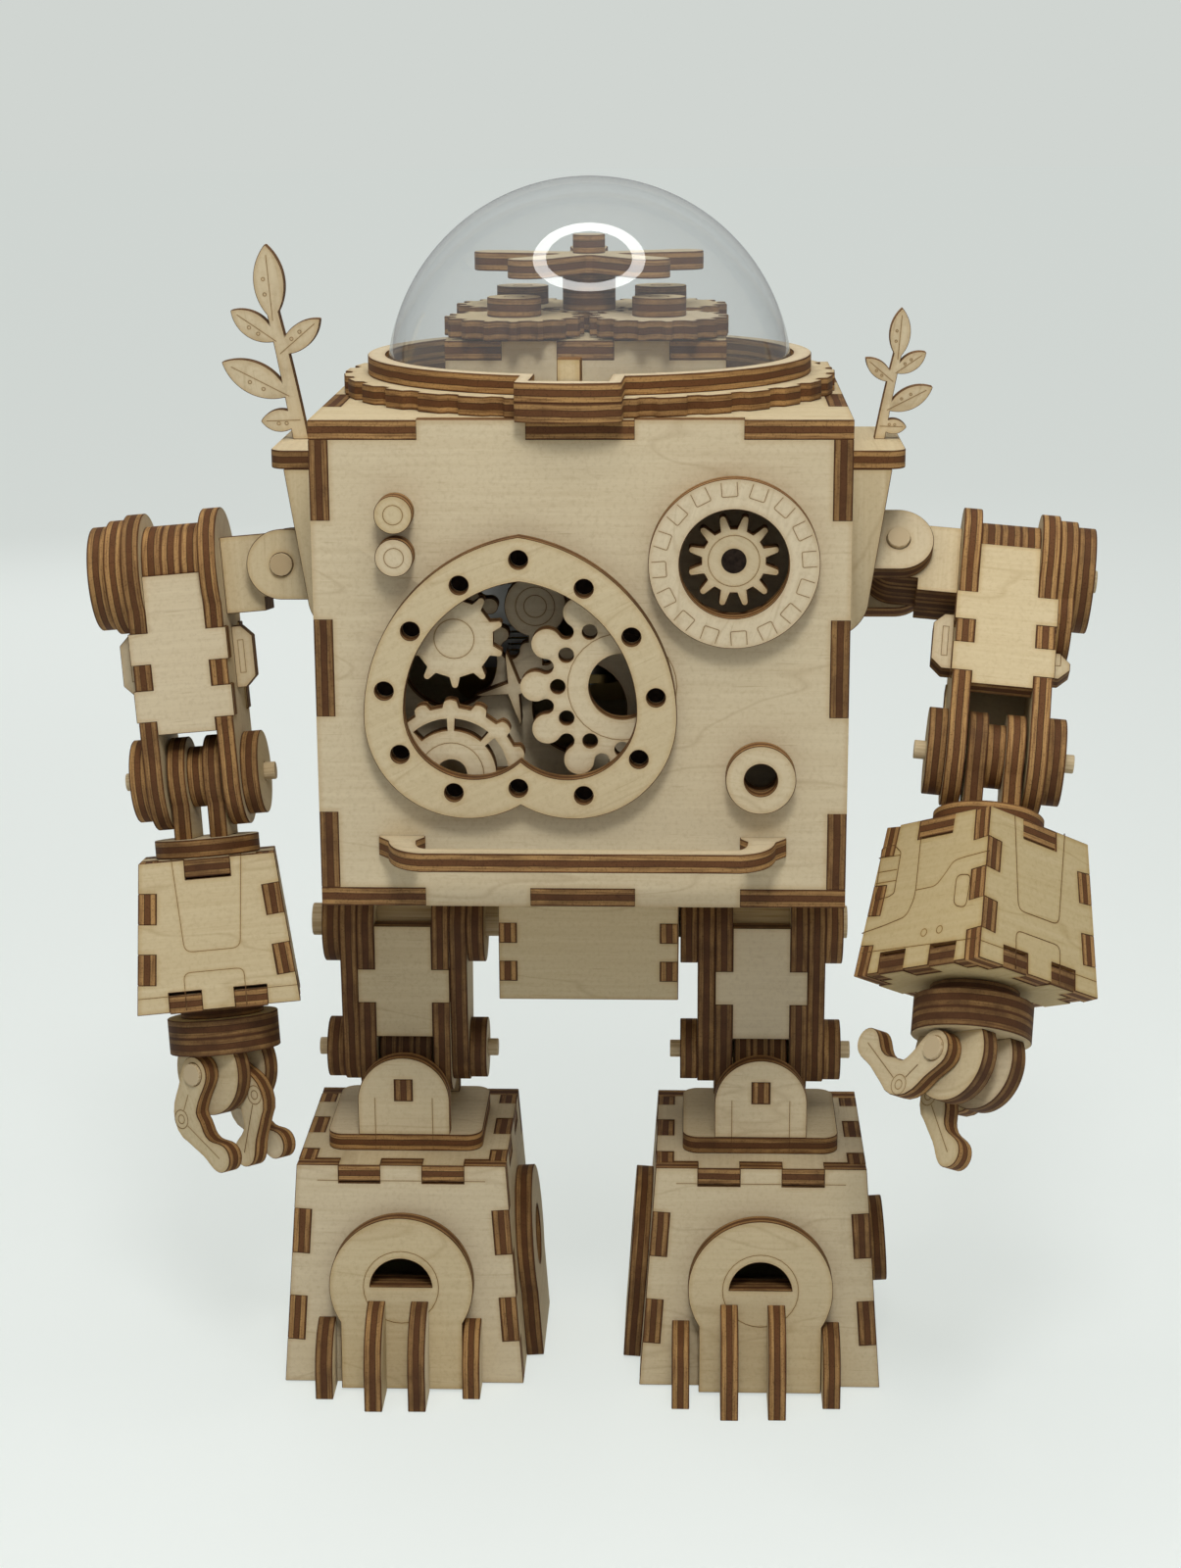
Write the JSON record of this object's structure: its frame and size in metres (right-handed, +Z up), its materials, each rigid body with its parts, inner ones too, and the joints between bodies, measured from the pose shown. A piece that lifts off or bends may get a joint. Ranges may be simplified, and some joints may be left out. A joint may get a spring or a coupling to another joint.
{
  "type": "wooden music box robot",
  "caption": "Upright plywood toy robot with a wind-up musical movement, a clear dome over a turning gear train, a heart-shaped gear window and jointed arms, hands, hips and ankles.",
  "frame": {"origin": "on the floor under the middle of the part's box", "axes": "+Z up; the robot's front faces -Y; its left-hand side in a front view is -X"},
  "size_m": [0.18, 0.1304, 0.2178],
  "materials": {
    "plywood": "raw sanded basswood plywood with scorched cut edges",
    "dowel_wood": "raw birch dowel",
    "clear_dome": "clear polished plastic",
    "steel": "plain steel",
    "brass": "plain brass"
  },
  "bodies": {
    "torso": {"body_front_plate": "plywood", "body_back_plate": "plywood", "body_side_plates": "plywood", "body_top_plate": "plywood", "body_bottom_plate": "plywood", "heart_window_ring": "plywood", "inner_gear_plate": "plywood", "four_arm_wheel": "plywood", "dial_ring": "plywood", "dial_gear": "plywood", "chest_buttons": "plywood", "port_washer": "plywood", "mouth_bar": "plywood", "shoulder_boxes": "plywood", "left_leaf_sprig": "plywood", "right_leaf_sprig": "plywood", "pelvis_plates": "plywood", "hip_dowel": "dowel_wood", "head_gear_ring": "plywood", "head_clamp_ring": "plywood", "dome": "clear_dome", "brain_box_walls": "plywood", "brain_box_lid": "plywood", "movement_mount_plate": "plywood", "movement_bedplate": "brass", "music_comb": "steel", "spring_barrel": "brass"},
    "winding_key": {"winding_key": "steel"},
    "cylinder_and_propeller": {"pin_cylinder": "steel", "propeller": "plywood"},
    "brain_gear_rear_right": {"brain_gear_rear_right": "plywood"},
    "brain_gear_rear_left": {"brain_gear_rear_left": "plywood"},
    "brain_gear_front_left": {"brain_gear_front_left": "plywood"},
    "brain_gear_front_right": {"brain_gear_front_right": "plywood"},
    "left_shoulder": {"left_shoulder_clevis": "plywood"},
    "left_upper_arm": {"left_upper_arm_plates": "plywood", "left_upper_arm_discs": "plywood"},
    "left_elbow": {"left_elbow_link": "plywood"},
    "left_forearm": {"left_forearm_box": "plywood"},
    "left_hand": {"left_hand_hub": "plywood"},
    "left_outer_fingers": {"left_outer_fingers": "plywood"},
    "left_inner_finger": {"left_inner_finger": "plywood"},
    "left_thigh": {"left_thigh_plates": "plywood", "left_thigh_discs": "plywood"},
    "left_foot": {"left_ankle_block": "plywood", "left_foot_box": "plywood", "left_toes": "plywood"},
    "right_shoulder": {"right_shoulder_clevis": "plywood"},
    "right_upper_arm": {"right_upper_arm_plates": "plywood", "right_upper_arm_discs": "plywood"},
    "right_elbow": {"right_elbow_link": "plywood"},
    "right_forearm": {"right_forearm_box": "plywood"},
    "right_hand": {"right_hand_hub": "plywood"},
    "right_outer_fingers": {"right_outer_fingers": "plywood"},
    "right_inner_finger": {"right_inner_finger": "plywood"},
    "right_thigh": {"right_thigh_plates": "plywood", "right_thigh_discs": "plywood"},
    "right_foot": {"right_ankle_block": "plywood", "right_foot_box": "plywood", "right_toes": "plywood"}
  },
  "joints": [
    {"name": "key_turn", "type": "hinge", "parent": "torso", "child": "winding_key", "pos_m": [0.0185, 0.044, 0.142], "axis": [0, 1, 0], "continuous": true},
    {"name": "cylinder_turn", "type": "hinge", "parent": "torso", "child": "cylinder_and_propeller", "pos_m": [0, 0, 0.142], "axis": [0, 0, 1], "continuous": true},
    {"name": "brain_gear_rear_right_turn", "type": "hinge", "parent": "torso", "child": "brain_gear_rear_right", "pos_m": [0.01235, 0.01235, 0.194], "axis": [0, 0, 1], "continuous": true},
    {"name": "brain_gear_rear_left_turn", "type": "hinge", "parent": "torso", "child": "brain_gear_rear_left", "pos_m": [-0.01235, 0.01235, 0.194], "axis": [0, 0, 1], "continuous": true},
    {"name": "brain_gear_front_left_turn", "type": "hinge", "parent": "torso", "child": "brain_gear_front_left", "pos_m": [-0.01235, -0.01235, 0.194], "axis": [0, 0, 1], "continuous": true},
    {"name": "brain_gear_front_right_turn", "type": "hinge", "parent": "torso", "child": "brain_gear_front_right", "pos_m": [0.01235, -0.01235, 0.194], "axis": [0, 0, 1], "continuous": true},
    {"name": "left_shoulder_swing", "type": "hinge", "parent": "torso", "child": "left_shoulder", "pos_m": [-0.0544, 0, 0.15], "axis": [-1, 0, 0], "range_deg": [-50, 90]},
    {"name": "left_arm_lift", "type": "hinge", "parent": "left_shoulder", "child": "left_upper_arm", "pos_m": [-0.0544, 0, 0.15], "axis": [0, 0.9898, -0.1426], "range_deg": [0, 60]},
    {"name": "left_elbow_bend", "type": "hinge", "parent": "left_upper_arm", "child": "left_elbow", "pos_m": [-0.07069, -0.00551, 0.11173], "axis": [-0.9962, -0.0124, -0.0863], "range_deg": [-80, 80]},
    {"name": "left_forearm_twist", "type": "hinge", "parent": "left_elbow", "child": "left_forearm", "pos_m": [-0.07069, -0.00551, 0.11173], "axis": [-0.0869, 0.2176, 0.9722], "continuous": true},
    {"name": "left_wrist_turn", "type": "hinge", "parent": "left_forearm", "child": "left_hand", "pos_m": [-0.06711, -0.01448, 0.07168], "axis": [-0.0869, 0.2176, 0.9722], "continuous": true},
    {"name": "left_outer_finger_bend", "type": "hinge", "parent": "left_hand", "child": "left_outer_fingers", "pos_m": [-0.06607, -0.01709, 0.06001], "axis": [-0.5951, -0.7939, 0.1245], "range_deg": [-20, 90]},
    {"name": "left_inner_finger_bend", "type": "hinge", "parent": "left_hand", "child": "left_inner_finger", "pos_m": [-0.06607, -0.01709, 0.06001], "axis": [-0.5951, -0.7939, 0.1245], "range_deg": [-90, 25]},
    {"name": "left_hip_swing", "type": "hinge", "parent": "torso", "child": "left_thigh", "pos_m": [-0.0345, 0, 0.083], "axis": [-1, 0, 0], "range_deg": [-75, 60]},
    {"name": "left_ankle_tilt", "type": "hinge", "parent": "left_thigh", "child": "left_foot", "pos_m": [-0.0345, 0, 0.058], "axis": [-1, 0, 0], "range_deg": [-15, 15]},
    {"name": "right_shoulder_swing", "type": "hinge", "parent": "torso", "child": "right_shoulder", "pos_m": [0.0544, 0, 0.15], "axis": [-1, 0, 0], "range_deg": [-80, 55]},
    {"name": "right_arm_lift", "type": "hinge", "parent": "right_shoulder", "child": "right_upper_arm", "pos_m": [0.0544, 0, 0.15], "axis": [0, -0.7385, 0.6743], "range_deg": [-4, 60]},
    {"name": "right_elbow_bend", "type": "hinge", "parent": "right_upper_arm", "child": "right_elbow", "pos_m": [0.06995, -0.02628, 0.12122], "axis": [-0.9943, 0.0717, 0.0785], "range_deg": [-80, 80]},
    {"name": "right_forearm_twist", "type": "hinge", "parent": "right_elbow", "child": "right_forearm", "pos_m": [0.06995, -0.02628, 0.12122], "axis": [0.1047, 0.5365, 0.8374], "continuous": true},
    {"name": "right_wrist_turn", "type": "hinge", "parent": "right_forearm", "child": "right_hand", "pos_m": [0.06563, -0.04838, 0.08672], "axis": [0.1047, 0.5365, 0.8374], "continuous": true},
    {"name": "right_outer_finger_bend", "type": "hinge", "parent": "right_hand", "child": "right_outer_fingers", "pos_m": [0.06437, -0.05482, 0.07667], "axis": [0.7498, 0.5106, -0.4209], "range_deg": [-95, 10]},
    {"name": "right_inner_finger_bend", "type": "hinge", "parent": "right_hand", "child": "right_inner_finger", "pos_m": [0.06437, -0.05482, 0.07667], "axis": [0.7498, 0.5106, -0.4209], "range_deg": [-20, 30]},
    {"name": "right_hip_swing", "type": "hinge", "parent": "torso", "child": "right_thigh", "pos_m": [0.0312, 0, 0.083], "axis": [-1, 0, 0], "range_deg": [-75, 45]},
    {"name": "right_ankle_tilt", "type": "hinge", "parent": "right_thigh", "child": "right_foot", "pos_m": [0.0312, 0, 0.058], "axis": [-1, 0, 0], "range_deg": [-15, 15]}
  ],
  "couplings": [
    {"joint": "brain_gear_rear_right_turn", "follows": "cylinder_turn", "ratio": -0.5625},
    {"joint": "brain_gear_rear_left_turn", "follows": "cylinder_turn", "ratio": -0.5625},
    {"joint": "brain_gear_front_left_turn", "follows": "cylinder_turn", "ratio": -0.5625},
    {"joint": "brain_gear_front_right_turn", "follows": "cylinder_turn", "ratio": -0.5625}
  ]
}
